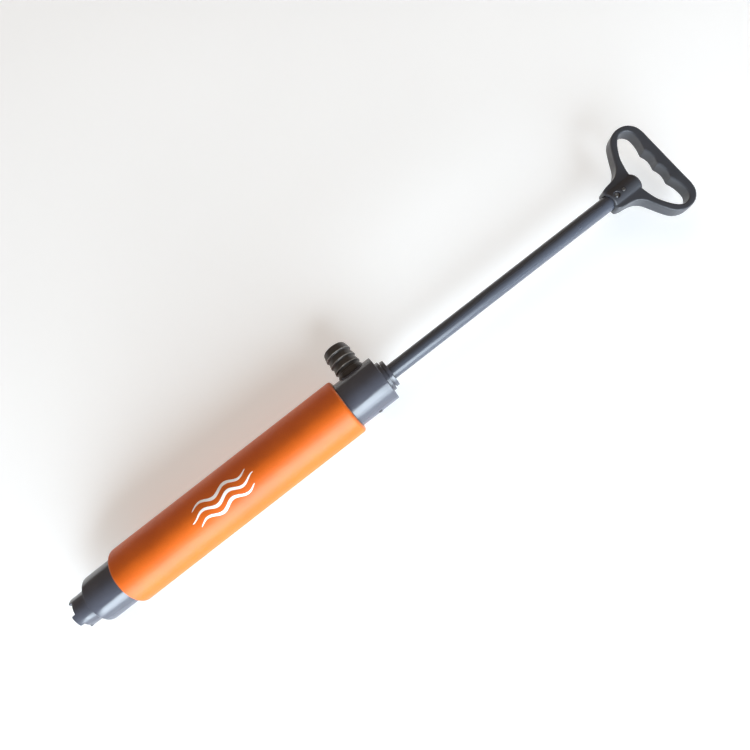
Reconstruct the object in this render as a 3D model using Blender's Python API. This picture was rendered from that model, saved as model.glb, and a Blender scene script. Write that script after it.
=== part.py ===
"""Manual bilge pump, lying on its foam sleeve with the plunger drawn right out.

+X runs along the pump from the inlet to the handle, +Y is the side that the
outlet spout points to, +Z is up. The pump's axis lies in the plane Y = 0.
Dimensions are in millimetres and are turned into metres where meshes are made.
"""

from math import cos, pi, radians, sin

import bmesh
import bpy
from mathutils import Matrix, Vector

MM = 0.001
GAP = 0.3            # clearance between pieces that touch or are bonded
SEGMENTS = 48        # facets round the barrel pieces
ROD_SEGMENTS = 32    # facets round the rod and what fits on it
SMALL_SEGMENTS = 20  # facets round pins and screws
PORT_SEGMENTS = 12   # facets round small holes

# Barrel, measured from the datum at the left of the inlet.
TOOTH_TIP_X = 10.4
NOTCH_DEPTH = 4.0
NOTCH_COUNT = 4
TOOTH_TURN = 30.0    # degrees from straight up towards -Y, to a tooth's middle
NOZZLE_R = 17.0
NOZZLE_BORE_R = 13.5
FOOT_X = 34.3
SEAT_X = 42.0
SEAT_BORE_R = 20.5
CAP_R = 25.0
TUBE_R = 22.5
TUBE_BORE_R = 20.0
TUBE_START_X = 50.3
TUBE_END_X = 351.5
FOAM_START_X = 71.0
FOAM_END_X = 341.9
FOAM_R = 30.5
FOAM_EDGE_R = 3.0
HEAD_END_X = 386.9
BOSS_END_X = 390.6
BOSS_R = 16.6
WEB_X = 376.0        # the wall across the head that the plunger stops against
WEB_END_X = 380.0
WEB_HOLE_R = 9.2
BUSH_R = 12.0
GLAND_END_X = 395.4
GLAND_R = 14.8

# Outlet spout, its stations measured out from the pump's axis.
SPOUT_X = 364.2
SPOUT_MOUTH_Y = 56.3
SPOUT_MOUTH_R = 12.6
SPOUT_BORE_R = 10.0
SPOUT_SHANK_R = 12.0
BARB_R = 14.5
BARB_VALLEY_R = 13.2
BARB_PITCH = 8.1
BARB_FIRST_Y = 47.7
BARB_COUNT = 3

# Plunger.
ROD_R = 8.0
ROD_BORE_R = 6.0
ROD_START_X = 348.3
ROD_END_X = 690.0
PISTON_X = 336.0
PISTON_R = 19.4
PISTON_HUB_R = 11.0
STOP_END_X = WEB_X - GAP
HANDLE_TURN = 8.0    # degrees that the handle is turned on the pump's axis

# Handle, its outline in its own plane.
HUB_X = 669.3
HUB_BARREL_R = 11.0
HUB_BARREL_END_X = 704.3
HANDLE_T = 15.0
GRIP_X = 740.5
CUSP_X = 729.2
FINGER_PITCH = 18.9
FINGER_DEPTH = 2.1
OUTER_EDGE_R = 1.4
INNER_EDGE_R = 1.0
SCREW_X = 676.6
PIN_X = 684.3

CENTRE_X = (TOOTH_TIP_X + GRIP_X) / 2
AXIS_Z = FOAM_R

GREY = (0.105, 0.108, 0.125)
DARK_GREY = (0.055, 0.056, 0.062)
ORANGE = (0.72, 0.19, 0.025)
BLACK = (0.015, 0.015, 0.016)
STEEL = (0.62, 0.62, 0.63)
WHITE = (0.75, 0.75, 0.73)


def material(name, colour, roughness, metallic=0.0):
    made = bpy.data.materials.new(name)
    made.use_nodes = True
    shader = made.node_tree.nodes["Principled BSDF"]
    shader.inputs["Base Color"].default_value = (*colour, 1.0)
    shader.inputs["Roughness"].default_value = roughness
    shader.inputs["Metallic"].default_value = metallic
    return made


def empty(name, location=(0.0, 0.0, 0.0), turn=0.0, parent=None):
    made = bpy.data.objects.new(name, None)
    bpy.context.collection.objects.link(made)
    made.location = location
    made.rotation_euler = (radians(turn), 0.0, 0.0)
    made.parent = parent
    return made


def add_object(name, bm, parent, look):
    """Close the bmesh into one named object whose faces point out."""
    bmesh.ops.recalc_face_normals(bm, faces=bm.faces)
    if bm.calc_volume(signed=True) < 0:
        bmesh.ops.reverse_faces(bm, faces=bm.faces)
    mesh = bpy.data.meshes.new(name)
    bm.to_mesh(mesh)
    bm.free()
    mesh.shade_smooth()
    mesh.set_sharp_from_angle(angle=radians(32))
    if look is not None:
        mesh.materials.append(look)
    made = bpy.data.objects.new(name, mesh)
    bpy.context.collection.objects.link(made)
    made.parent = parent
    return made


def turned_bmesh(outline, segments, axis="X"):
    """Turn a closed outline of (station, radius) points; radius 0 is a pole."""
    bm = bmesh.new()
    rings = []
    for station, radius in outline:
        if radius == 0:
            rings.append([bm.verts.new((station * MM, 0, 0))])
            continue
        ring = []
        for k in range(segments):
            angle = 2 * pi * (k + 0.5) / segments
            ring.append(bm.verts.new((station * MM, radius * MM * cos(angle), radius * MM * sin(angle))))
        rings.append(ring)
    for first, second in zip(rings, rings[1:] + rings[:1]):
        if len(first) == 1 and len(second) == 1:
            continue
        for k in range(segments):
            nxt = (k + 1) % segments
            corners = [first[k % len(first)], first[nxt % len(first)]]
            corners += [second[nxt % len(second)], second[k % len(second)]]
            bm.faces.new(list(dict.fromkeys(corners)))
    if axis == "Y":
        bmesh.ops.rotate(bm, verts=bm.verts, matrix=Matrix.Rotation(pi / 2, 3, "Z"))
    if axis == "Z":
        bmesh.ops.rotate(bm, verts=bm.verts, matrix=Matrix.Rotation(-pi / 2, 3, "Y"))
    return bm


def turned(name, outline, parent, look, segments=SEGMENTS, axis="X", at=(0.0, 0.0, 0.0)):
    """A turned piece on the pump's axis, or at a place given in millimetres."""
    made = add_object(name, turned_bmesh(outline, segments, axis), parent, look)
    made.location = Vector(at) * MM
    return made


def ring(x0, x1, inner, outer):
    return [(x0, inner), (x1, inner), (x1, outer), (x0, outer)]


def rod_outline(x0, x1, radius):
    return [(x0, 0), (x0, radius), (x1, radius), (x1, 0)]


def corner_arc(x, radius, size, toward, steps=3):
    """Points that round an outer edge; toward is the way from the end face into the piece."""
    points = []
    for k in range(steps + 1):
        angle = pi / 2 * k / steps
        points.append((x + toward * size * (1 - sin(angle)), radius - size * (1 - cos(angle))))
    return points[::-toward]


def combine(target, tool, operation):
    """Cut or join with another object, which stays in the scene as a guide."""
    step = target.modifiers.new(operation.title() + " " + tool.name, "BOOLEAN")
    step.operation = operation
    step.solver = "EXACT"
    step.object = tool
    tool.hide_render = True
    tool.display_type = "WIRE"


def sector_bmesh(x0, x1, r0, r1, middle, half_width):
    """A wedge of a ring, its angles measured from +Z towards -Y."""
    bm = bmesh.new()
    verts = []
    for x in (x0, x1):
        for radius, side in ((r0, -1), (r1, -1), (r1, 1), (r0, 1)):
            angle = radians(middle + side * half_width)
            verts.append(bm.verts.new((x * MM, -radius * MM * sin(angle), radius * MM * cos(angle))))
    faces = [(0, 1, 2, 3), (7, 6, 5, 4)]
    faces += [(k, (k + 4), (k + 1) % 4 + 4, (k + 1) % 4) for k in range(4)]
    for face in faces:
        bm.faces.new([verts[k] for k in face])
    return bm


def merged(parts):
    """Several bmeshes as one, each keeping its own closed shell."""
    whole = bmesh.new()
    for part in parts:
        bmesh.ops.recalc_face_normals(part, faces=part.faces)
        mesh = bpy.data.meshes.new("part_of_tool")
        part.to_mesh(mesh)
        part.free()
        whole.from_mesh(mesh)
        bpy.data.meshes.remove(mesh)
    return whole


def port_ring(count, circle_r, outline):
    """Drills for a ring of holes along the pump's axis."""
    drills = []
    for k in range(count):
        angle = 2 * pi * k / count
        drill = turned_bmesh(outline, PORT_SEGMENTS)
        place = Vector((0, circle_r * cos(angle), circle_r * sin(angle))) * MM
        bmesh.ops.translate(drill, verts=drill.verts, vec=place)
        drills.append(drill)
    return merged(drills)


# ---------------------------------------------------------------- barrel


def make_inlet_foot(root, look):
    cap_end = FOAM_START_X - GAP
    tube_stop = TUBE_START_X - GAP
    outline = [(TOOTH_TIP_X, NOZZLE_BORE_R), (SEAT_X, NOZZLE_BORE_R), (SEAT_X, SEAT_BORE_R)]
    outline += [(tube_stop, SEAT_BORE_R), (tube_stop, TUBE_R + GAP), (cap_end, TUBE_R + GAP)]
    outline += [(cap_end, CAP_R), (FOOT_X + 0.6, CAP_R), (FOOT_X, CAP_R - 0.6), (FOOT_X, NOZZLE_R)]
    outline += [(TOOTH_TIP_X + 0.5, NOZZLE_R), (TOOTH_TIP_X, NOZZLE_R - 0.5)]
    foot = turned("inlet_foot", outline, root, look)
    wedges = []
    notch_end = TOOTH_TIP_X + NOTCH_DEPTH
    pitch = 360 / NOTCH_COUNT
    for k in range(NOTCH_COUNT):
        middle = TOOTH_TURN + pitch * (k + 0.5)
        wedges.append(sector_bmesh(TOOTH_TIP_X - 5, notch_end, 9, 24, middle, pitch / 4))
    cutter = add_object("cut_notches", merged(wedges), root, None)
    combine(foot, cutter, "DIFFERENCE")


def make_foot_valve(root, valve, plastic, rubber):
    rim_r = SEAT_BORE_R - GAP
    start = SEAT_X + GAP
    end = start + 4.0
    face = end + GAP
    pin_r = 1.8
    seat = turned("foot_valve_seat", ring(start, end, pin_r + GAP, rim_r), root, plastic)
    ports = port_ring(6, 8.0, rod_outline(start - 2, end + 2, 3.2))
    combine(seat, add_object("cut_seat_ports", ports, root, None), "DIFFERENCE")
    turned("foot_valve_seal", ring(face, TUBE_START_X - GAP, 16.5, rim_r), root, rubber)
    stem = [(SEAT_X - 3.5, 0), (SEAT_X - 3.5, 3.2), (SEAT_X, 4.0), (SEAT_X, pin_r), (54.5, pin_r)]
    stem += [(54.5, 5.0), (56.5, 4.0), (56.5, 0)]
    turned("foot_valve_pin", stem, root, plastic, SMALL_SEGMENTS)
    turned("foot_valve_disc", ring(face, face + 1.8, pin_r + 0.4, 13.0), valve, rubber, ROD_SEGMENTS)


def make_barrel(root, plastic, foam):
    turned("barrel_tube", ring(TUBE_START_X, TUBE_END_X, TUBE_BORE_R, TUBE_R), root, plastic)
    flat_r = FOAM_R / cos(pi / SEGMENTS)  # so that the lowest facet lies at FOAM_R
    outline = [(FOAM_END_X, TUBE_R + GAP), (FOAM_START_X, TUBE_R + GAP)]
    outline += corner_arc(FOAM_START_X, flat_r, FOAM_EDGE_R, 1)
    outline += corner_arc(FOAM_END_X, flat_r, FOAM_EDGE_R, -1)
    turned("foam_sleeve", outline, root, foam)


def make_outlet_head(root, look):
    start = FOAM_END_X + GAP
    outline = [(start, TUBE_R + GAP), (TUBE_END_X + GAP, TUBE_R + GAP), (TUBE_END_X + GAP, TUBE_BORE_R)]
    outline += [(WEB_X, TUBE_BORE_R), (WEB_X, WEB_HOLE_R), (WEB_END_X, WEB_HOLE_R)]
    outline += [(WEB_END_X, BUSH_R + GAP), (BOSS_END_X, BUSH_R + GAP)]
    outline += [(BOSS_END_X, BOSS_R - 0.5), (BOSS_END_X - 0.5, BOSS_R), (HEAD_END_X, BOSS_R)]
    outline += [(HEAD_END_X, CAP_R - 0.8), (HEAD_END_X - 0.8, CAP_R), (start, CAP_R)]
    head = turned("outlet_head", outline, root, look)
    port = turned_bmesh(rod_outline(10, 32, SPOUT_SHANK_R + GAP), ROD_SEGMENTS, "Y")
    bmesh.ops.translate(port, verts=port.verts, vec=(SPOUT_X * MM, 0, 0))
    combine(head, add_object("cut_port", port, root, None), "DIFFERENCE")
    nub = turned_bmesh(rod_outline(-25.8, -23.0, 1.9), 12, "Y")
    bmesh.ops.translate(nub, verts=nub.verts, vec=(SPOUT_X * MM, 0, 0))
    combine(head, add_object("join_gate_nub", nub, root, None), "UNION")


def barb_outline():
    """The spout's outside from its base to its mouth, with rounded barbs."""
    points = [(18.0, 0), (18.0, BARB_R - 0.3), (27.0, BARB_VALLEY_R + 0.2)]
    for k in reversed(range(BARB_COUNT)):
        crest = BARB_FIRST_Y - BARB_PITCH * k
        points += [(crest - 2.6, BARB_VALLEY_R), (crest - 0.9, BARB_R - 0.2), (crest, BARB_R)]
        if k > 0:
            points += [(crest + 0.8, BARB_R - 0.25), (crest + 3.2, BARB_VALLEY_R + 0.1)]
    points += [(BARB_FIRST_Y + 1.2, BARB_R - 0.3), (SPOUT_MOUTH_Y - 3.0, SPOUT_MOUTH_R + 0.7)]
    points += [(SPOUT_MOUTH_Y - 0.8, SPOUT_MOUTH_R - 0.1), (SPOUT_MOUTH_Y, SPOUT_MOUTH_R - 1.0)]
    return points + [(SPOUT_MOUTH_Y, 0)]


def make_outlet_spout(root, look):
    at = (SPOUT_X, 0, 0)
    spout = turned("outlet_spout", barb_outline(), root, look, SEGMENTS, "Y", at)
    envelope = turned("cut_head_envelope", rod_outline(330, 395, CAP_R + 0.4), root, None)
    combine(spout, envelope, "DIFFERENCE")
    shank = turned("join_shank", rod_outline(18.5, 30, SPOUT_SHANK_R), root, None, ROD_SEGMENTS, "Y", at)
    combine(spout, shank, "UNION")
    bore = turned("cut_spout_bore", rod_outline(10, 70, SPOUT_BORE_R), root, None, ROD_SEGMENTS, "Y", at)
    combine(spout, bore, "DIFFERENCE")


def make_rod_gland(root, look, bush, rubber):
    bush_end = WEB_END_X + 6.5
    turned("rod_bush", ring(WEB_END_X + GAP, bush_end, ROD_R + GAP, BUSH_R), root, bush, ROD_SEGMENTS)
    seal = ring(bush_end + GAP, BOSS_END_X - 0.2, ROD_R + GAP, BUSH_R)
    turned("rod_seal", seal, root, rubber, ROD_SEGMENTS)
    neck_end = BOSS_END_X + 1.0
    outline = [(BOSS_END_X + GAP, ROD_R + 0.5), (GLAND_END_X, ROD_R + 0.5), (GLAND_END_X, GLAND_R - 0.5)]
    outline += [(GLAND_END_X - 0.5, GLAND_R), (neck_end, GLAND_R), (neck_end, GLAND_R - 1.3)]
    outline += [(BOSS_END_X + GAP, GLAND_R - 1.3)]
    turned("gland_cap", outline, root, look)


# --------------------------------------------------------------- plunger


def make_piston(plunger, seal_body, valve, plastic, rubber, steel):
    face = PISTON_X + 8
    groove = PISTON_R - 2.6
    hub_end = PISTON_X + 22
    outline = [(PISTON_X, 2.6), (ROD_START_X - GAP, 2.6), (ROD_START_X - GAP, ROD_R + GAP)]
    outline += [(hub_end, ROD_R + GAP), (hub_end, PISTON_HUB_R), (face, PISTON_HUB_R), (face, PISTON_R)]
    outline += [(PISTON_X + 6, PISTON_R), (PISTON_X + 6, groove), (PISTON_X + 2, groove)]
    outline += [(PISTON_X + 2, PISTON_R), (PISTON_X, PISTON_R)]
    body = turned("piston_body", outline, plunger, plastic)
    ports = port_ring(8, 13.6, rod_outline(PISTON_X - 3, face + 2, 2.0))
    combine(body, add_object("cut_piston_ports", ports, plunger, None), "DIFFERENCE")
    cup = ring(PISTON_X + 2 + GAP, PISTON_X + 6 - GAP, groove + GAP, TUBE_BORE_R - GAP)
    turned("piston_cup", cup, seal_body, rubber)
    turned("piston_valve_disc", ring(face + GAP, face + 1.8, PISTON_HUB_R + 0.4, 18.5), valve, rubber)
    stop = ring(face + 6.2, face + 8.4, PISTON_HUB_R + GAP, 15.0)
    turned("piston_valve_retainer", stop, plunger, plastic)
    screw = [(PISTON_X - 3.6, 0), (PISTON_X - 3.6, 4.2), (PISTON_X - 2.6, 5.6), (PISTON_X - GAP, 5.6)]
    screw += [(PISTON_X - GAP, 2.3), (ROD_START_X + 10, 2.3), (ROD_START_X + 12, 0)]
    turned("piston_screw", screw, plunger, steel, SMALL_SEGMENTS)
    plug = ring(ROD_START_X, ROD_START_X + 16, 2.6, ROD_BORE_R - GAP)
    turned("rod_end_plug", plug, plunger, plastic, ROD_SEGMENTS)
    turned("stop_sleeve", ring(hub_end + GAP, STOP_END_X, ROD_R + GAP, 10.6), plunger, plastic, ROD_SEGMENTS)


def make_rod(plunger, look):
    rod = turned("plunger_rod", ring(ROD_START_X, ROD_END_X, ROD_BORE_R, ROD_R), plunger, look, ROD_SEGMENTS)
    holes = []
    for x in (SCREW_X, PIN_X):
        hole = turned_bmesh(rod_outline(4, 10, 1.5), PORT_SEGMENTS, "Z")
        bmesh.ops.translate(hole, verts=hole.verts, vec=(x * MM, 0, 0))
        holes.append(hole)
    combine(rod, add_object("cut_rod_holes", merged(holes), plunger, None), "DIFFERENCE")


def smooth_through(points, steps):
    """A Catmull-Rom curve through the points, with no overshoot at its ends."""
    knots = [Vector(p) for p in points]
    knots = [knots[0] * 2 - knots[1]] + knots + [knots[-1] * 2 - knots[-2]]
    curve = []
    for p0, p1, p2, p3 in zip(knots, knots[1:], knots[2:], knots[3:]):
        for k in range(steps):
            t = k / steps
            bend = (2 * p0 - 5 * p1 + 4 * p2 - p3) * t * t + (3 * p1 - p0 - 3 * p2 + p3) * t * t * t
            curve.append((2 * p1 + (p2 - p0) * t + bend) / 2)
    curve.append(knots[-2])
    return curve


def handle_stations():
    """Pairs of outer and inner points in the handle's plane, hub to grip, +Y half."""
    stations = [(HUB_X, 0, 701.0, 0), (HUB_X, 8.0, 701.0, 4.5), (HUB_X + 0.6, 11.2, 701.0, 7.5)]
    stations += [(675.0, 13.2, 701.2, 9.8), (684.0, 14.5, 701.8, 13.8), (690.5, 17.2, 702.6, 17.4)]
    stations += [(695.6, 22.2, 703.6, 21.5), (699.5, 29.5, 705.6, 27.6), (704.8, 39.7, 709.6, 35.0)]
    stations += [(711.0, 48.4, 714.6, 42.0), (721.0, 52.8, 721.0, 46.8), (731.5, 50.9, 727.6, 45.8)]
    stations += [(738.3, 44.0, 731.6, 41.0), (GRIP_X, 35.5, 732.4, 35.0), (GRIP_X, 27.0, 731.6, 27.0)]
    stations += [(GRIP_X, FINGER_PITCH, CUSP_X, FINGER_PITCH)]
    outer = smooth_through([s[:2] for s in stations], 3)
    inner = smooth_through([s[2:] for s in stations], 3)
    pairs = list(zip(outer, inner))
    steps = 8
    for k in range(1, steps + 1):
        y = FINGER_PITCH * (1 - k / steps)
        x = CUSP_X + FINGER_DEPTH * abs(sin(pi * y / FINGER_PITCH))
        pairs.append((Vector((GRIP_X, y)), Vector((x, y))))
    return pairs


def section(outer, inner):
    """A bar with rounded corners between an outer and an inner point, as (x, y, z) points."""
    across = (outer - inner).normalized()
    corners = [(outer, 1, -1, OUTER_EDGE_R), (outer, 1, 1, OUTER_EDGE_R)]
    corners += [(inner, -1, 1, INNER_EDGE_R), (inner, -1, -1, INNER_EDGE_R)]
    steps = 3
    points = []
    for quarter, (point, side, up, radius) in enumerate(corners):
        centre = point - across * side * radius
        for k in range(steps + 1):
            angle = pi / 2 * (quarter - 1 + k / steps)
            place = centre + across * radius * cos(angle)
            points.append((place.x, place.y, up * (HANDLE_T / 2 - radius) + radius * sin(angle)))
    return points


def make_handle(plunger, look):
    pairs = handle_stations()
    mirrored = [(Vector((o.x, -o.y)), Vector((i.x, -i.y))) for o, i in pairs[-2:0:-1]]
    bm = bmesh.new()
    loops = []
    for outer, inner in pairs + mirrored:
        loops.append([bm.verts.new(Vector(p) * MM) for p in section(outer, inner)])
    for first, second in zip(loops, loops[1:] + loops[:1]):
        for k in range(len(first)):
            nxt = (k + 1) % len(first)
            bm.faces.new((first[k], first[nxt], second[nxt], second[k]))
    handle = add_object("handle", bm, plunger, look)
    barrel = [(HUB_X + 1.0, 0), (HUB_X + 1.0, HUB_BARREL_R - 0.6), (HUB_X + 1.6, HUB_BARREL_R)]
    barrel += [(HUB_BARREL_END_X - 3, HUB_BARREL_R), (HUB_BARREL_END_X - 1, HUB_BARREL_R - 1.2)]
    barrel += [(HUB_BARREL_END_X, HUB_BARREL_R - 4), (HUB_BARREL_END_X + 0.4, 0)]
    combine(handle, turned("join_hub_barrel", barrel, plunger, None, ROD_SEGMENTS), "UNION")
    socket = rod_outline(HUB_X - 4, ROD_END_X + GAP, ROD_R + GAP)
    combine(handle, turned("cut_rod_socket", socket, plunger, None, ROD_SEGMENTS), "DIFFERENCE")
    holes = []
    for x, radius in ((SCREW_X, 3.1), (PIN_X, 1.5)):
        hole = turned_bmesh(rod_outline(4, 16, radius), 16, "Z")
        bmesh.ops.translate(hole, verts=hole.verts, vec=(x * MM, 0, 0))
        holes.append(hole)
    combine(handle, add_object("cut_screw_holes", merged(holes), plunger, None), "DIFFERENCE")


def make_handle_fasteners(plunger, steel):
    head_z = ROD_R + GAP
    screw = [(2.0, 0), (3.0, 1.2), (head_z, 1.2), (head_z, 2.8), (head_z + 1.0, 2.8), (head_z + 1.6, 2.0)]
    screw += [(head_z + 1.6, 0.9), (head_z + 0.8, 0.9), (head_z + 0.8, 0)]
    turned("handle_screw", screw, plunger, steel, SMALL_SEGMENTS, "Z", (SCREW_X, 0, 0))
    dome_z = HUB_BARREL_R + GAP
    pin = [(4.5, 0), (4.5, 1.2), (dome_z, 1.2), (dome_z, 1.8), (dome_z + 0.4, 1.5), (dome_z + 0.7, 0)]
    turned("handle_pin", pin, plunger, steel, SMALL_SEGMENTS, "Z", (PIN_X, 0, 0))


def main():
    for thing in list(bpy.data.objects):
        bpy.data.objects.remove(thing)
    grey = material("grey_plastic", GREY, 0.35)
    dark = material("dark_grey_plastic", DARK_GREY, 0.5)
    orange = material("orange_foam", ORANGE, 0.75)
    black = material("black_rubber", BLACK, 0.6)
    steel = material("screw_steel", STEEL, 0.3, 1.0)
    white = material("white_plastic", WHITE, 0.4)

    origin = (-CENTRE_X * MM, 0.0, AXIS_Z * MM)
    pump_axis = empty("pump_axis", origin)
    foot_valve = empty("foot_valve_lift", parent=pump_axis)
    stroke = empty("piston_stroke", parent=pump_axis)
    plunger = empty("handle_turn", turn=HANDLE_TURN, parent=stroke)
    piston_valve = empty("piston_valve_lift", parent=plunger)

    make_inlet_foot(pump_axis, grey)
    make_foot_valve(pump_axis, foot_valve, white, black)
    make_barrel(pump_axis, grey, orange)
    make_outlet_head(pump_axis, grey)
    make_outlet_spout(pump_axis, dark)
    make_rod_gland(pump_axis, dark, white, black)
    make_piston(plunger, stroke, piston_valve, white, black, steel)
    make_rod(plunger, grey)
    make_handle(plunger, dark)
    make_handle_fasteners(plunger, steel)


main()
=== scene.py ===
"""Looks of the manual bilge pump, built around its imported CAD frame.

The pump lies along +X on a pale floor, its spout towards +Y. Outlines, radii and
fillets are in millimetres, and become metres where meshes are made. Places of the
camera, the lights and the print are in metres.
"""

from math import cos, pi, radians, sin, tan

import bmesh
import bpy
from mathutils import Matrix, Vector, noise


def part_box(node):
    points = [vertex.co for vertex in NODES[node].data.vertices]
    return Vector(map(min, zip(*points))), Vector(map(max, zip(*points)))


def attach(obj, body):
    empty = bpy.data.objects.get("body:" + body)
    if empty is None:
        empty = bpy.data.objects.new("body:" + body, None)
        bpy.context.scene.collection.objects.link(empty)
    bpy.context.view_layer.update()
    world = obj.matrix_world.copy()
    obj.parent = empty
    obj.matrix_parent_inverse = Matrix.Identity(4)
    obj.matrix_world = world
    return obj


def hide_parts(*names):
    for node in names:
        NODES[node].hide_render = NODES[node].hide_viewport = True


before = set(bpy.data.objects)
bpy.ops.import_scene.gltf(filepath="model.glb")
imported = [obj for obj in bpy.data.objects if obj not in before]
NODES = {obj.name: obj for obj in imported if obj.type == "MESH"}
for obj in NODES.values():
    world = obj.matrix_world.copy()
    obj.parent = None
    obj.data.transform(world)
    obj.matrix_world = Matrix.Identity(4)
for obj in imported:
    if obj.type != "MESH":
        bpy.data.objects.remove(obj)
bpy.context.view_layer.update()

MM = 0.001
SEGMENTS = 144
SMALL_SEGMENTS = 96
NUB_SEGMENTS = 32

rod_low, rod_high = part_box("plunger_rod")
AXIS = Vector((0.0, 0.0, (rod_low.z + rod_high.z) / 2))
foot_low, foot_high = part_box("inlet_foot")
head_low, head_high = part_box("outlet_head")
foam_low, foam_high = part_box("foam_sleeve")
spout_low, spout_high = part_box("outlet_spout")
gland_low, gland_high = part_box("gland_cap")
SPOUT_X = (spout_low.x + spout_high.x) / 2
CRESTS = (31.5, 39.6, 47.7)   # the spout's barbs, in millimetres from the pump's axis


# ---------------------------------------------------------------- camera

CAMERA_LENS = 26.05       # millimetres on a 36 mm sensor
CAMERA_SIDE = 15.14       # degrees round the pump's axis from straight up, towards -Y
CAMERA_PLACE = Vector((0.0008, -0.00897, 0.53808))  # from the axis, before that turn
CAMERA_TWIST = -37.81     # degrees that the pump runs across the picture
CAMERA_TILT = Vector((1.721, 0.653, -0.055))        # degrees, in the camera's own axes
NEAREST = 0.01
FARTHEST = 60.0


def make_camera():
    data = bpy.data.cameras.new("camera")
    data.lens = CAMERA_LENS
    data.clip_start = NEAREST
    data.clip_end = FARTHEST
    camera = bpy.data.objects.new("camera", data)
    bpy.context.scene.collection.objects.link(camera)
    side = Matrix.Rotation(radians(CAMERA_SIDE), 4, "X")
    twist = Matrix.Rotation(radians(CAMERA_TWIST), 4, "Z")
    tilt = Matrix.Rotation(radians(CAMERA_TILT.length), 4, CAMERA_TILT.normalized())
    place = Matrix.Translation(AXIS) @ side @ Matrix.Translation(CAMERA_PLACE)
    camera.matrix_world = place @ twist @ tilt
    bpy.context.scene.camera = camera


# ------------------------------------------------------------- materials

MIX_FACTOR, MIX_A, MIX_B, MIX_RESULT = 0, 6, 7, 2   # the sockets of a colour mix
# Thin painted highlight lines along the spout's barb crests: offset from each crest, and strength.
CREST_HIGHLIGHT_LINE = ((-0.6, 0.0), (-0.25, 1.0), (0.35, 1.0), (0.8, 0.0))   # offset, strength
CREST_MARGIN = 2.0


def graph(name):
    """A new node material, its tree and its Principled shader."""
    made = bpy.data.materials.new(name)
    made.use_nodes = True
    return made, made.node_tree, made.node_tree.nodes["Principled BSDF"]


def noise_of(tree, place, scale, detail, roughness, stretch=None):
    """A noise texture whose features are about 1 / scale metres across."""
    texture = tree.nodes.new("ShaderNodeTexNoise")
    texture.inputs["Scale"].default_value = scale
    texture.inputs["Detail"].default_value = detail
    texture.inputs["Roughness"].default_value = roughness
    if stretch is None:
        tree.links.new(place, texture.inputs["Vector"])
    else:
        mapping = tree.nodes.new("ShaderNodeMapping")
        mapping.inputs["Scale"].default_value = stretch
        tree.links.new(place, mapping.inputs["Vector"])
        tree.links.new(mapping.outputs["Vector"], texture.inputs["Vector"])
    return texture.outputs["Fac"]


def ramp(tree, value, stops):
    """A colour ramp from a value, its stops given as (position, colour)."""
    node = tree.nodes.new("ShaderNodeValToRGB")
    band = node.color_ramp
    for element, (position, colour) in zip(band.elements, (stops[0], stops[-1])):
        element.position = position
        element.color = (*colour, 1.0)
    for position, colour in stops[1:-1]:
        band.elements.new(position).color = (*colour, 1.0)
    tree.links.new(value, node.inputs["Fac"])
    return node.outputs["Color"]


def remap(tree, value, low, high, out_low, out_high):
    """A value's range from low to high, carried over to another range and held inside it."""
    node = tree.nodes.new("ShaderNodeMapRange")
    node.inputs["From Min"].default_value = low
    node.inputs["From Max"].default_value = high
    node.inputs["To Min"].default_value = out_low
    node.inputs["To Max"].default_value = out_high
    tree.links.new(value, node.inputs["Value"])
    return node.outputs["Result"]


def mix(tree, factor, first, second, kind="MIX"):
    """Two colours mixed; each of the three inputs is a socket or a constant."""
    node = tree.nodes.new("ShaderNodeMix")
    node.data_type = "RGBA"
    node.blend_type = kind
    for index, value in ((MIX_FACTOR, factor), (MIX_A, first), (MIX_B, second)):
        if hasattr(value, "is_linked"):
            tree.links.new(value, node.inputs[index])
        elif isinstance(value, (int, float)):
            node.inputs[index].default_value = value
        else:
            node.inputs[index].default_value = (*value, 1.0)
    return node.outputs[MIX_RESULT]


def bump(tree, heights):
    """Bump nodes in a chain, from (height, strength, distance in metres)."""
    normal = None
    for height, strength, distance in heights:
        node = tree.nodes.new("ShaderNodeBump")
        node.inputs["Strength"].default_value = strength
        node.inputs["Distance"].default_value = distance
        tree.links.new(height, node.inputs["Height"])
        if normal is not None:
            tree.links.new(normal, node.inputs["Normal"])
        normal = node.outputs["Normal"]
    return normal


def sharp_edges(tree, _):
    """How far a spot is on a rubbed edge, from the mesh's own curvature."""
    edge = tree.nodes.new("ShaderNodeNewGeometry").outputs["Pointiness"]
    return remap(tree, edge, 0.515, 0.56, 0.0, 0.6)


def barb_crest_highlights(tree, place):
    """How strongly a painted highlight line lies on a spot at one of the spout's crests, broken up by noise.
    """
    split = tree.nodes.new("ShaderNodeSeparateXYZ")
    tree.links.new(place, split.inputs["Vector"])
    low, high = CRESTS[0] - CREST_MARGIN, CRESTS[-1] + CREST_MARGIN
    along = remap(tree, split.outputs["Y"], low * MM, high * MM, 0.0, 1.0)
    stops = []
    for crest in CRESTS:
        for offset, share in CREST_HIGHLIGHT_LINE:
            stops.append(((crest + offset - low) / (high - low), (share, share, share)))
    lines = ramp(tree, along, stops)
    # noise that breaks up the painted highlight lines
    highlight_breakup = remap(tree, noise_of(tree, place, 300.0, 2.0, 0.5), 0.35, 0.65, 0.55, 1.0)
    return mix(tree, 1.0, lines, highlight_breakup, "MULTIPLY")


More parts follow.
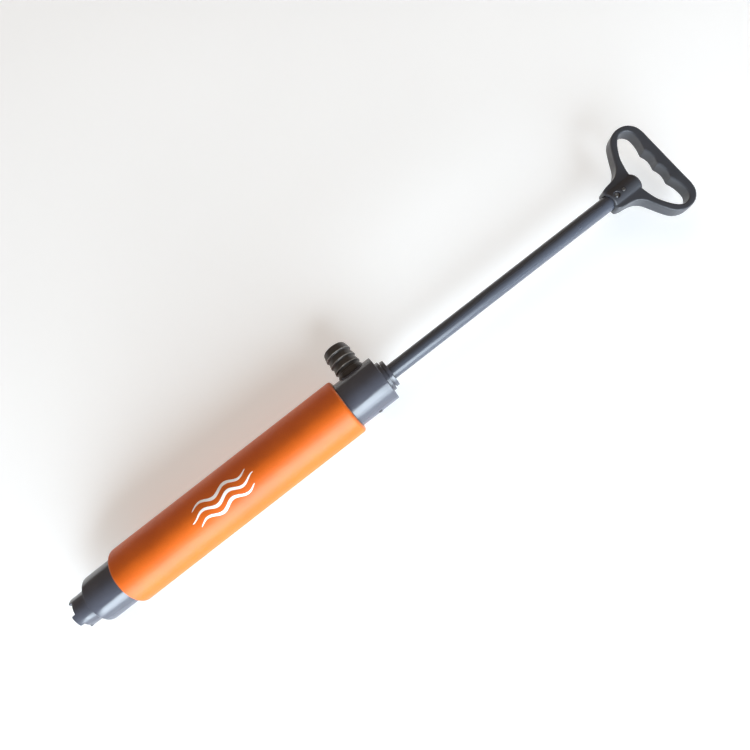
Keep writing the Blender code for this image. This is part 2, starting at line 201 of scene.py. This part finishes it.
def plastic(name, low, high, rough, grain, grain_depth, stretch=None, specular=0.5, wear_and_highlight=None):
    """Moulded or drawn plastic: mottled colour, fine surface grain and uneven gloss.

    Grain is how many grains a metre holds, and its depth is in metres. The last argument is a colour
    and the function that says where it shows: rubbed edges on the handle, painted highlight lines on the
    spout's crests.
    """
    made, tree, shader = graph(name)
    place = tree.nodes.new("ShaderNodeTexCoord").outputs["Object"]
    broad = noise_of(tree, place, 38.0, 4.0, 0.6, stretch)
    fine = noise_of(tree, place, grain, 2.0, 0.5, stretch)
    smear = noise_of(tree, place, 150.0, 1.0, 0.5, stretch or (0.25, 1.0, 1.0))
    colour = ramp(tree, broad, [(0.32, low), (0.68, high)])
    # an added colour: wear on rubbed edges, and on the spout a painted highlight along its crests
    if wear_and_highlight is not None:
        shade, where = wear_and_highlight
        colour = mix(tree, where(tree, place), colour, shade)
    tree.links.new(colour, shader.inputs["Base Color"])
    tree.links.new(remap(tree, smear, 0.35, 0.7, rough - 0.05, rough + 0.07), shader.inputs["Roughness"])
    normal = bump(tree, [(broad, 0.10, 0.0006), (fine, 0.5, grain_depth)])
    tree.links.new(normal, shader.inputs["Normal"])
    shader.inputs["Specular IOR Level"].default_value = specular
    return made


def foam_material():
    """Closed-cell foam: tiny cells, a cloudy colour and a soft skin."""
    made, tree, shader = graph("eva_foam")
    place = tree.nodes.new("ShaderNodeTexCoord").outputs["Object"]
    cloud = noise_of(tree, place, 26.0, 5.0, 0.6)
    skin = noise_of(tree, place, 700.0, 3.0, 0.6)
    cells = tree.nodes.new("ShaderNodeTexVoronoi")
    cells.inputs["Scale"].default_value = 1500.0
    tree.links.new(place, cells.inputs["Vector"])
    colour = ramp(tree, cloud, [(0.3, (0.50, 0.084, 0.0020)), (0.7, (0.57, 0.103, 0.0035))])
    pores = remap(tree, cells.outputs["Distance"], 0.05, 0.5, 0.86, 1.04)
    colour = mix(tree, 1.0, colour, pores, "MULTIPLY")
    tree.links.new(colour, shader.inputs["Base Color"])
    tree.links.new(remap(tree, skin, 0.3, 0.7, 0.42, 0.50), shader.inputs["Roughness"])
    heights = [(cloud, 0.25, 0.0008), (skin, 0.35, 0.00012), (cells.outputs["Distance"], 0.3, 0.00008)]
    tree.links.new(bump(tree, heights), shader.inputs["Normal"])
    shader.inputs["Specular IOR Level"].default_value = 0.6
    shader.inputs["Sheen Weight"].default_value = 0.25
    shader.inputs["Sheen Roughness"].default_value = 0.3
    shader.inputs["Sheen Tint"].default_value = (1.0, 0.86, 0.68, 1.0)
    return made


def metal_material(name, colour, rough):
    """Turned metal with a fine, uneven grain."""
    made, tree, shader = graph(name)
    place = tree.nodes.new("ShaderNodeTexCoord").outputs["Object"]
    grain = noise_of(tree, place, 2500.0, 2.0, 0.5)
    tint = ramp(tree, grain, [(0.3, tuple(c * 0.82 for c in colour)), (0.7, colour)])
    tree.links.new(tint, shader.inputs["Base Color"])
    tree.links.new(remap(tree, grain, 0.3, 0.7, rough, rough + 0.15), shader.inputs["Roughness"])
    tree.links.new(bump(tree, [(grain, 0.3, 0.00003)]), shader.inputs["Normal"])
    shader.inputs["Metallic"].default_value = 1.0
    return made


def ink_material():
    """Screen-printed white ink with the foam's pores showing through."""
    made, tree, shader = graph("white_ink")
    place = tree.nodes.new("ShaderNodeTexCoord").outputs["Object"]
    grain = noise_of(tree, place, 1400.0, 3.0, 0.65)
    tint = ramp(tree, grain, [(0.28, (0.80, 0.62, 0.50)), (0.42, (0.90, 0.88, 0.86))])
    tree.links.new(tint, shader.inputs["Base Color"])
    tree.links.new(remap(tree, grain, 0.3, 0.7, 0.5, 0.65), shader.inputs["Roughness"])
    tree.links.new(bump(tree, [(grain, 0.4, 0.00006)]), shader.inputs["Normal"])
    return made


GREY = plastic(
    "grey_pvc", (0.052, 0.054, 0.069), (0.062, 0.064, 0.081), rough=0.20, grain=2200.0,
    grain_depth=0.000008, specular=1.0,
)
ROD_GREY = plastic(
    "drawn_grey_pvc", (0.050, 0.055, 0.070), (0.060, 0.065, 0.083), rough=0.24, grain=1500.0,
    grain_depth=0.000003, stretch=(0.04, 1.0, 1.0), specular=0.8,
)
# The spout's lighter crest lines are a painted highlight.
SPOUT_GREY = plastic(
    "spout_pvc", (0.036, 0.031, 0.027), (0.045, 0.039, 0.035), rough=0.34, grain=2400.0,
    grain_depth=0.00001, specular=0.6, wear_and_highlight=((0.30, 0.28, 0.26), barb_crest_highlights),
)
HANDLE_GREY = plastic(
    "textured_nylon", (0.033, 0.034, 0.039), (0.042, 0.043, 0.050), rough=0.36, grain=3000.0,
    grain_depth=0.00003, specular=0.7, wear_and_highlight=((0.09, 0.09, 0.10), sharp_edges),
)
WHITE = plastic(
    "white_acetal", (0.62, 0.62, 0.60), (0.72, 0.72, 0.70), rough=0.35, grain=2200.0,
    grain_depth=0.00001,
)
RUBBER = plastic(
    "black_nitrile", (0.012, 0.012, 0.013), (0.020, 0.020, 0.021), rough=0.5, grain=1800.0,
    grain_depth=0.00003,
)
STEEL = metal_material("stainless_steel", (0.42, 0.42, 0.43), 0.25)
FOAM = foam_material()
INK = ink_material()


# ----------------------------------------------------------- mesh making


def add_object(name, bm, look, sharp=30.0):
    """A bmesh as a smooth-shaded object, its vertices in the row frame."""
    bmesh.ops.recalc_face_normals(bm, faces=bm.faces)
    if bm.calc_volume(signed=True) < 0:
        bmesh.ops.reverse_faces(bm, faces=bm.faces)
    mesh = bpy.data.meshes.new(name)
    bm.to_mesh(mesh)
    bm.free()
    mesh.shade_smooth()
    mesh.set_sharp_from_angle(angle=radians(sharp))
    if look is not None:
        mesh.materials.append(look)
    made = bpy.data.objects.new(name, mesh)
    bpy.context.scene.collection.objects.link(made)
    return made


def place_x(x):
    """Turned shapes run along +X from this station."""
    return Matrix.Translation(AXIS + Vector((x, 0, 0)))


def place_y(x):
    """Turned shapes run along +Y from the pump's axis at this station."""
    return place_x(x) @ Matrix.Rotation(pi / 2, 4, "Z")


def rounded(outline, steps=4):
    """A closed outline of (station, radius, fillet) with each corner rounded."""
    points = []
    count = len(outline)
    for k, (station, radius, fillet) in enumerate(outline):
        corner = Vector((station, radius))
        if fillet == 0:
            points.append(tuple(corner))
            continue
        before = Vector(outline[k - 1][:2]) - corner
        after = Vector(outline[(k + 1) % count][:2]) - corner
        half = before.angle(after) / 2
        reach = fillet / tan(half)
        start = corner + before.normalized() * reach
        end = corner + after.normalized() * reach
        middle = corner + (before.normalized() + after.normalized()).normalized() * fillet / sin(half)
        for j in range(steps + 1):
            arm = (start - middle).lerp(end - middle, j / steps)
            points.append(tuple(middle + arm.normalized() * fillet))
    return points


def turned(outline, place, angles=SEGMENTS, shift=None):
    """A closed outline of (station, radius) in millimetres, turned about its axis.

    Angles is a count or a list in degrees; shift moves a station at an angle.
    """
    if isinstance(angles, int):
        angles = [360 * k / angles for k in range(angles)]
    bm = bmesh.new()
    rings = []
    for station, radius in outline:
        ring = []
        for angle in angles if radius > 0 else angles[:1]:
            x = station + (shift(station, angle) if shift else 0)
            turn = radians(angle)
            ring.append(bm.verts.new((x * MM, radius * MM * cos(turn), radius * MM * sin(turn))))
        rings.append(ring)
    for first, second in zip(rings, rings[1:] + rings[:1]):
        if len(first) == 1 and len(second) == 1:
            continue
        for k in range(len(angles)):
            nxt = (k + 1) % len(angles)
            corners = [first[k % len(first)], first[nxt % len(first)]]
            corners += [second[nxt % len(second)], second[k % len(second)]]
            bm.faces.new(list(dict.fromkeys(corners)))
    bm.transform(place)
    return bm


def rod_shape(start, end, radius):
    """A plain rod's outline for turned()."""
    return [(start, 0), (start, radius), (end, radius), (end, 0)]


def applied(thing):
    """Makes an object's modifiers real."""
    depsgraph = bpy.context.evaluated_depsgraph_get()
    mesh = bpy.data.meshes.new_from_object(thing.evaluated_get(depsgraph))
    thing.modifiers.clear()
    thing.data = mesh


def combined(thing, tool_bm, operation, sharp=30.0):
    """The object joined with a tool's mesh, or cut by it."""
    tool = add_object("tool", tool_bm, None)
    step = thing.modifiers.new(operation, "BOOLEAN")
    step.operation = operation
    step.solver = "EXACT"
    step.object = tool
    applied(thing)
    bpy.data.objects.remove(tool)
    thing.data.set_sharp_from_angle(angle=radians(sharp))


def shown(thing, body, node):
    """Shows an object in place of a CAD node."""
    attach(thing, body)
    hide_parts(node)


# ---------------------------------------------------------- barrel pieces

NOTCH_COUNT = 4
NOTCH_DEPTH = 4.0
NOTCH_WIDTH = 45.0     # degrees
NOTCH_SLOPE = 2.2      # degrees over which a notch's side falls
NOTCH_STEPS = 5        # rim points on each side of the middle of a notch's side
TOOTH_TURN = 30.0      # degrees from straight up towards -Y
RIM_END = 1.0          # stations up to here are the nozzle's rim

CAP_R = 25.0           # the inlet cap and the outlet head
TUBE_R = 22.8          # the barrel tube's outside
NOZZLE_R = 17.0
NOZZLE_BORE_R = 13.5
SHOULDER = 23.9        # where the nozzle meets the cap
SEAT_R = 20.5          # the foot valve's pocket
SEAT_START = 31.6
SEAT_END = 39.6
HEAD_BORE_R = 20.0
TUBE_DEPTH = 9.6       # how deep the tube sits in the head
BOSS_R = 16.6
BOSS_HEIGHT = 3.7
BUSH_R = 12.3
BUSH_DEPTH = 10.6
SEAL_DEPTH = 14.6      # the end of the web that the rod passes through
WEB_HOLE_R = 9.2
BARB_R = 14.5          # the spout's crests and the collar at its base
BARB_ROOT_R = 12.9
SPOUT_BORE_R = 10.0
SPIGOT_R = 12.0        # the spout's end inside the head
GLAND_R = 14.8
GLAND_BORE_R = 8.5
GLAND_SPIGOT_R = 13.5


def notch_shift(station, angle):
    """How far the nozzle's rim is set back at an angle measured from +Y towards +Z."""
    if station > RIM_END:
        return 0.0
    pitch = 360 / NOTCH_COUNT
    from_notch = abs((angle - 90 - TOOTH_TURN) % pitch - pitch / 2)
    fall = (NOTCH_WIDTH / 2 + NOTCH_SLOPE / 2 - from_notch) / NOTCH_SLOPE
    fall = min(1.0, max(0.0, fall))
    return NOTCH_DEPTH * fall * fall * (3 - 2 * fall)


def rim_angles():
    """Even steps round the pump, with close ones where the notches' sides fall."""
    angles = {360 * k / SEGMENTS for k in range(SEGMENTS)}
    pitch = 360 / NOTCH_COUNT
    for k in range(NOTCH_COUNT):
        middle = 90 + TOOTH_TURN + pitch * (k + 0.5)
        for side in (-1, 1):
            for step in range(-NOTCH_STEPS, NOTCH_STEPS + 1):
                angle = middle + side * NOTCH_WIDTH / 2 + step * NOTCH_SLOPE / (2 * NOTCH_STEPS)
                angles.add(round(angle % 360, 4))
    return sorted(angles)


def make_inlet_foot():
    """The cap and its toothed nozzle; outlines are (station, radius, fillet) from the rim."""
    end = (foot_high.x - foot_low.x) / MM
    outline = [(0, NOZZLE_BORE_R + 0.3, 0.5), (14, NOZZLE_BORE_R, 0), (SEAT_START, NOZZLE_BORE_R, 0)]
    outline += [(SEAT_START, SEAT_R, 0), (SEAT_END, SEAT_R, 0), (SEAT_END, TUBE_R, 0), (end, TUBE_R, 0.3)]
    outline += [(end, CAP_R, 0.4), (SHOULDER + 10, CAP_R, 0), (SHOULDER, CAP_R - 0.1, 0.8)]
    outline += [(SHOULDER, NOZZLE_R, 0.5), (12, NOZZLE_R - 0.05, 0), (0, NOZZLE_R - 0.2, 0.5)]
    foot = turned(rounded(outline), place_x(foot_low.x), rim_angles(), notch_shift)
    shown(add_object("inlet_foot_moulding", foot, GREY), "barrel", "inlet_foot")


def make_outlet_head():
    """The cap over the tube's top, bored for the spout, with the mould's gate nub opposite it."""
    end = (head_high.x - head_low.x) / MM
    top = end - BOSS_HEIGHT
    bush_end = end - BUSH_DEPTH
    web_end = end - SEAL_DEPTH
    outline = [(0, TUBE_R, 0.3), (0, CAP_R, 0.4), (top, CAP_R - 0.05, 0.9), (top, BOSS_R, 0.5)]
    outline += [(end, BOSS_R, 0.5), (end, BUSH_R, 0.2), (bush_end, BUSH_R, 0), (bush_end, WEB_HOLE_R, 0)]
    outline += [(web_end, WEB_HOLE_R, 0), (web_end, HEAD_BORE_R, 0), (TUBE_DEPTH, HEAD_BORE_R, 0)]
    outline += [(TUBE_DEPTH, TUBE_R, 0)]
    head = add_object("outlet_head_moulding", turned(rounded(outline), place_x(head_low.x)), GREY)
    bore = turned(rod_shape(10, 32, SPIGOT_R + 0.3), place_y(SPOUT_X), SMALL_SEGMENTS)
    combined(head, bore, "DIFFERENCE")
    shown(head, "barrel", "outlet_head")
    nub_outline = rounded([(-25.8, 0, 0), (-25.8, 1.9, 0.4), (-24.4, 2.2, 0), (-24.4, 0, 0)])
    nub = add_object("outlet_head_gate_nub", turned(nub_outline, place_y(SPOUT_X), NUB_SEGMENTS), SPOUT_GREY)
    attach(nub, "barrel")


def barbs():
    """The spout's outline from base to mouth: ramps that face the mouth, steps that face the head."""
    mouth = (spout_high.y - AXIS.y) / MM
    points = [(18.0, 0), (18.0, BARB_R), (26.0, BARB_R), (26.5, 14.3), (26.8, 13.6), (27.2, 13.1)]
    for crest in CRESTS:
        points += [(crest - 2.0, BARB_ROOT_R), (crest - 1.2, 13.1), (crest - 0.7, 13.7)]
        points += [(crest - 0.35, 14.25), (crest - 0.1, BARB_R), (crest + 0.25, BARB_R)]
        points += [(crest + 0.8, 14.3), (crest + 4.0, 13.6)]
    points += [(mouth - 3.2, 13.2), (mouth - 1.6, 12.85), (mouth - 0.7, 12.4), (mouth - 0.2, 11.8)]
    return points + [(mouth, 11.2), (mouth, 0)]


def make_outlet_spout():
    """The barbed spout, saddled on the head, with its spigot in the head's side."""
    mouth = (spout_high.y - AXIS.y) / MM
    sharp = 22.0
    spout = add_object("outlet_spout_barbed", turned(barbs(), place_y(SPOUT_X)), SPOUT_GREY, sharp)
    combined(spout, turned(rod_shape(-60, 60, CAP_R + 0.3), place_x(SPOUT_X)), "DIFFERENCE")
    spigot = turned(rod_shape(18.5, 30, SPIGOT_R), place_y(SPOUT_X), SMALL_SEGMENTS)
    combined(spout, spigot, "UNION")
    drill = [(10, 0), (10, SPOUT_BORE_R), (mouth - 0.6, SPOUT_BORE_R), (mouth - 0.2, SPOUT_BORE_R + 0.2)]
    drill += [(mouth + 1, SPOUT_BORE_R + 1.4), (mouth + 1, 0)]
    combined(spout, turned(drill, place_y(SPOUT_X), SMALL_SEGMENTS), "DIFFERENCE", sharp)
    shown(spout, "barrel", "outlet_spout")


def make_gland_cap():
    """The collar on the boss, with a narrower spigot below it."""
    end = (gland_high.x - gland_low.x) / MM
    outline = [(0, GLAND_BORE_R, 0), (end, GLAND_BORE_R, 0.3), (end, GLAND_R, 0.5), (0.8, GLAND_R, 0.3)]
    outline += [(0.8, GLAND_SPIGOT_R, 0), (0, GLAND_SPIGOT_R, 0)]
    cap = add_object("gland_cap_ring", turned(rounded(outline), place_x(gland_low.x)), GREY)
    shown(cap, "barrel", "gland_cap")


# ------------------------------------------------------------ foam sleeve

FOAM_R = 30.5
FOAM_DIP = 0.22        # how far the cut surface dips
DIPS_PER_METRE = 14
DIP_TURNS = 0.5        # how fast the dips change round the sleeve
LOW_END_R = 1.6        # the roundings of the sleeve's ends
HIGH_END_R = 3.2
END_STEPS = 8
BODY_RINGS = 90
MOUTH_R = 24.0         # the bore's slight opening at each end
MOUTH_DEPTH = 1.0


def foam_radius(x, angle):
    """The sleeve's outer radius in millimetres, with the slight waves of cut foam."""
    spot = Vector((x * DIPS_PER_METRE, cos(angle) * DIP_TURNS, sin(angle) * DIP_TURNS))
    return FOAM_R - FOAM_DIP * (0.5 + 0.5 * noise.noise(spot))


def foam_stations(length):
    """Stations along the sleeve, each with how far its rounded end is set in there."""
    turns = [pi / 2 * k / END_STEPS for k in range(END_STEPS + 1)]
    stations = [(LOW_END_R * (1 - cos(turn)), LOW_END_R * (1 - sin(turn))) for turn in turns]
    body = length - (LOW_END_R + HIGH_END_R)
    stations += [(LOW_END_R + body * k / BODY_RINGS, 0.0) for k in range(1, BODY_RINGS)]
    for turn in turns:
        stations.append((length - HIGH_END_R * (1 - sin(turn)), HIGH_END_R * (1 - cos(turn))))
    return stations


def ring_about_axis(bm, x, radius_at):
    """A ring of vertices at x, its radius in millimetres given by the angle."""
    ring = []
    for k in range(SEGMENTS):
        angle = 2 * pi * k / SEGMENTS
        radius = radius_at(angle) * MM
        ring.append(bm.verts.new((x, radius * cos(angle), radius * sin(angle))))
    return ring


def make_foam():
    """The sleeve, a thick tube with rounded ends and a plain bore."""
    length = (foam_high.x - foam_low.x) / MM
    bm = bmesh.new()
    rings = []
    for station, inset in foam_stations(length):
        x = foam_low.x + station * MM
        rings.append(ring_about_axis(bm, x, lambda angle: foam_radius(x, angle) - inset))
    bore = [(length, MOUTH_R), (length - MOUTH_DEPTH, TUBE_R), (MOUTH_DEPTH, TUBE_R), (0, MOUTH_R)]
    for station, radius in bore:
        rings.append(ring_about_axis(bm, foam_low.x + station * MM, lambda angle: radius))
    for first, second in zip(rings, rings[1:] + rings[:1]):
        for k in range(SEGMENTS):
            nxt = (k + 1) % SEGMENTS
            bm.faces.new((first[k], first[nxt], second[nxt], second[k]))
    bm.transform(Matrix.Translation(AXIS))
    sleeve = add_object("foam_float", bm, FOAM, 50.0)
    shown(sleeve, "barrel", "foam_sleeve")


# ----------------------------------------------------------------- print

PRINT_CENTRE_X = -0.177
PRINT_LENGTH = 74.0
PRINT_TURN = 9.0       # degrees from straight up towards -Y
WAVES = ((-8.5, 0.86), (0.0, 1.0), (8.5, 0.86))   # offset across, share of the length
WAVE_HEIGHT = 2.6
WAVE_COUNT = 2.5
STROKE = 3.4           # a stroke's greatest width
TIP_SHARE = 0.10       # its width at the tips, as a share of that
TAPER = 0.6
PRINT_STEPS = 120
STROKE_STEPS = 6
INK_HEIGHT = 0.07
INK_DEPTH = 0.25       # how far the film reaches into the foam


def wave_film(offset, share):
    """One wave stroke as a thin film that follows the foam."""
    bm = bmesh.new()
    tops, bottoms = [], []
    for k in range(PRINT_STEPS + 1):
        along = k / PRINT_STEPS
        x = PRINT_CENTRE_X + (along - 0.5) * PRINT_LENGTH * share * MM
        centre = offset + WAVE_HEIGHT * sin(2 * pi * WAVE_COUNT * share * (along - 0.5))
        width = STROKE * (TIP_SHARE + (1 - TIP_SHARE) * sin(pi * along) ** TAPER)
        top_row, bottom_row = [], []
        for j in range(STROKE_STEPS + 1):
            arc = centre + width * (j / STROKE_STEPS - 0.5)
            turn = pi / 2 + radians(PRINT_TURN) - arc / FOAM_R
            for row, lift in ((top_row, INK_HEIGHT), (bottom_row, -INK_DEPTH)):
                radius = (foam_radius(x, turn) + lift) * MM
                row.append(bm.verts.new((x, radius * cos(turn), radius * sin(turn))))
        tops.append(top_row)
        bottoms.append(bottom_row)
    for k in range(PRINT_STEPS):
        for j in range(STROKE_STEPS):
            bm.faces.new((tops[k][j], tops[k][j + 1], tops[k + 1][j + 1], tops[k + 1][j]))
            bm.faces.new((bottoms[k][j], bottoms[k + 1][j], bottoms[k + 1][j + 1], bottoms[k][j + 1]))
        for j in (0, STROKE_STEPS):
            bm.faces.new((tops[k][j], tops[k + 1][j], bottoms[k + 1][j], bottoms[k][j]))
    for k in (0, PRINT_STEPS):
        for j in range(STROKE_STEPS):
            bm.faces.new((tops[k][j], tops[k][j + 1], bottoms[k][j + 1], bottoms[k][j]))
    return bm


def make_print():
    """Three wave strokes, a generic water mark, as films of ink on the foam."""
    for number, (offset, share) in enumerate(WAVES):
        bm = wave_film(offset, share)
        bm.transform(Matrix.Translation(AXIS))
        wave = add_object(f"foam_print_wave_{number + 1}", bm, INK)
        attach(wave, "barrel")


# --------------------------------------------------------------- plunger

ROD_R = 8.0
ROD_BORE_R = 6.0
VOXEL = 0.6
RELAX_STEPS = 3


def make_rod():
    """The plunger's tube."""
    length = (rod_high.x - rod_low.x) / MM
    outline = [(0, ROD_BORE_R), (0, ROD_R), (length, ROD_R), (length, ROD_BORE_R)]
    rod = add_object("plunger_rod_tube", turned(outline, place_x(rod_low.x), SMALL_SEGMENTS), ROD_GREY)
    shown(rod, "plunger", "plunger_rod")


def make_handle():
    """The CAD handle remeshed so that every edge and corner has a moulded radius."""
    mesh = NODES["handle"].data.copy()
    handle = bpy.data.objects.new("handle_moulding", mesh)
    bpy.context.scene.collection.objects.link(handle)
    mesh.materials.clear()
    remesh = handle.modifiers.new("even_mesh", "REMESH")
    remesh.mode = "VOXEL"
    remesh.voxel_size = VOXEL * MM
    relax = handle.modifiers.new("round_corners", "SMOOTH")
    relax.factor = 0.5
    relax.iterations = RELAX_STEPS
    applied(handle)
    handle.data.materials.append(HANDLE_GREY)
    handle.data.shade_smooth()
    shown(handle, "plunger", "handle")


# --------------------------------------------------------- carried nodes


def dress_inner_nodes():
    """Gives the CAD nodes that stay their materials."""
    looks = {
        "foot_valve_seat": WHITE, "foot_valve_pin": WHITE, "rod_bush": WHITE, "piston_body": WHITE,
        "piston_valve_retainer": WHITE, "rod_end_plug": WHITE, "stop_sleeve": WHITE,
        "foot_valve_seal": RUBBER, "foot_valve_disc": RUBBER, "rod_seal": RUBBER,
        "piston_cup": RUBBER, "piston_valve_disc": RUBBER,
        "barrel_tube": GREY,
        "piston_screw": STEEL, "handle_screw": STEEL, "handle_pin": STEEL,
    }
    for node, look in looks.items():
        mesh = NODES[node].data
        mesh.materials.clear()
        mesh.materials.append(look)
        mesh.shade_smooth()
        mesh.set_sharp_from_angle(angle=radians(32))


# --------------------------------------------------------- floor and light

FLOOR_SIZE = 24.0


def make_floor():
    """A plain pale floor under the pump."""
    bm = bmesh.new()
    bmesh.ops.create_grid(bm, x_segments=4, y_segments=4, size=FLOOR_SIZE)
    mesh = bpy.data.meshes.new("floor")
    bm.to_mesh(mesh)
    bm.free()
    floor = bpy.data.objects.new("floor", mesh)
    bpy.context.scene.collection.objects.link(floor)
    made, tree, shader = graph("pale_floor")
    place = tree.nodes.new("ShaderNodeTexCoord").outputs["Object"]
    cloud = noise_of(tree, place, 3.0, 3.0, 0.5)
    tint = ramp(tree, cloud, [(0.3, (0.89, 0.91, 0.92)), (0.7, (0.92, 0.94, 0.95))])
    tree.links.new(tint, shader.inputs["Base Color"])
    shader.inputs["Roughness"].default_value = 0.8
    shader.inputs["Specular IOR Level"].default_value = 0.2
    shader.inputs["Emission Color"].default_value = (1.0, 1.0, 1.0, 1.0)
    shader.inputs["Emission Strength"].default_value = 0.27
    mesh.materials.append(made)


WALL_RADIUS = 20.0
WALL_HEIGHT = 18.0
WALL_SIDES = 96


def make_backdrop():
    """A pale round wall at the floor's edge, seen by the camera but lighting nothing."""
    bm = bmesh.new()
    turns = [2 * pi * k / WALL_SIDES for k in range(WALL_SIDES)]
    rows = []
    for height in (0.0, WALL_HEIGHT):
        rows.append([bm.verts.new((WALL_RADIUS * cos(t), WALL_RADIUS * sin(t), height)) for t in turns])
    for k in range(WALL_SIDES):
        nxt = (k + 1) % WALL_SIDES
        bm.faces.new((rows[0][k], rows[0][nxt], rows[1][nxt], rows[1][k]))
    made, tree, shader = graph("pale_backdrop")
    place = tree.nodes.new("ShaderNodeTexCoord").outputs["Object"]
    cloud = noise_of(tree, place, 0.06, 1.0, 0.4)
    tint = ramp(tree, cloud, [(0.3, (0.74, 0.74, 0.75)), (0.7, (0.80, 0.80, 0.81))])
    tree.links.new(tint, shader.inputs["Emission Color"])
    shader.inputs["Base Color"].default_value = (0.0, 0.0, 0.0, 1.0)
    shader.inputs["Specular IOR Level"].default_value = 0.0
    shader.inputs["Emission Strength"].default_value = 1.0
    wall = add_object("backdrop", bm, made)
    wall.visible_diffuse = False
    wall.visible_glossy = False
    wall.visible_transmission = False
    wall.visible_shadow = False


def new_light(name, kind, colour, energy):
    data = bpy.data.lights.new(name, kind)
    data.color = colour
    data.energy = energy
    light = bpy.data.objects.new(name, data)
    bpy.context.scene.collection.objects.link(light)
    return light


def area_light(name, place, way, width, height, radiance):
    """A soft box whose face has the given brightness, where 1 is a white card in full light."""
    light = new_light(name, "AREA", WINDOW_TINT, radiance * pi * width * height)
    light.data.shape = "RECTANGLE"
    light.data.size = width
    light.data.size_y = height
    light.matrix_world = Matrix.Translation(place) @ way.to_track_quat("-Z", "Y").to_matrix().to_4x4()
    light.visible_camera = False
    return light


WINDOW_RIGHT = Vector((0.50, -1.95, 0.0))   # the foot of its right-hand edge
WINDOW_LEFT = Vector((-3.20, -3.40, 0.0))
WINDOW_TINT = (0.80, 0.91, 1.0)
PANES = ((0.03, 0.30, 7.0), (0.40, 2.0, 8.2))   # low edge, high edge, brightness
FILL_BRIGHTNESS = 26.5
FILL_DISTANCE = 2.0
FILL_WIDTH = 7.0
FILL_HEIGHT = 0.36
ROOM_TINT = (1.0, 0.88, 0.78, 1.0)
ROOM_BRIGHTNESS = 0.16
BOUNCE_FROM = Vector((0.1, 1.0, 0.8))
BOUNCE_TINT = (1.0, 0.78, 0.60)
BOUNCE_BRIGHTNESS = 0.33
BOUNCE_SPREAD = 70.0   # degrees


def make_light():
    """A tall window beyond the pump's -Y side, a low fill, and a dim room with a warm bounce."""
    middle = (WINDOW_LEFT + WINDOW_RIGHT) / 2
    width = (WINDOW_RIGHT - WINDOW_LEFT).length
    inward = Vector((0, 0, 1)).cross(WINDOW_RIGHT - WINDOW_LEFT)
    for number, (low, high, radiance) in enumerate(PANES):
        place = middle + Vector((0, 0, (low + high) / 2))
        area_light(f"window_pane_{number + 1}", place, inward, width, high - low, radiance)
    place = Vector((0, -FILL_DISTANCE, FILL_HEIGHT / 2))
    inward = Vector((0, 1, 0))
    fill = area_light("side_fill", place, inward, FILL_WIDTH, FILL_HEIGHT, FILL_BRIGHTNESS)
    fill.visible_glossy = False
    bounce = new_light("room_bounce", "SUN", BOUNCE_TINT, BOUNCE_BRIGHTNESS * pi)
    bounce.data.angle = radians(BOUNCE_SPREAD)
    bounce.matrix_world = BOUNCE_FROM.to_track_quat("Z", "Y").to_matrix().to_4x4()
    bounce.visible_glossy = False
    world = bpy.data.worlds.new("room")
    bpy.context.scene.world = world
    world.use_nodes = True
    back = world.node_tree.nodes["Background"]
    back.inputs["Color"].default_value = ROOM_TINT
    back.inputs["Strength"].default_value = ROOM_BRIGHTNESS


make_camera()
make_floor()
make_backdrop()
make_light()
make_inlet_foot()
make_outlet_head()
make_outlet_spout()
make_gland_cap()
make_foam()
make_print()
make_rod()
make_handle()
dress_inner_nodes()

bpy.context.scene.view_settings.view_transform = "Standard"
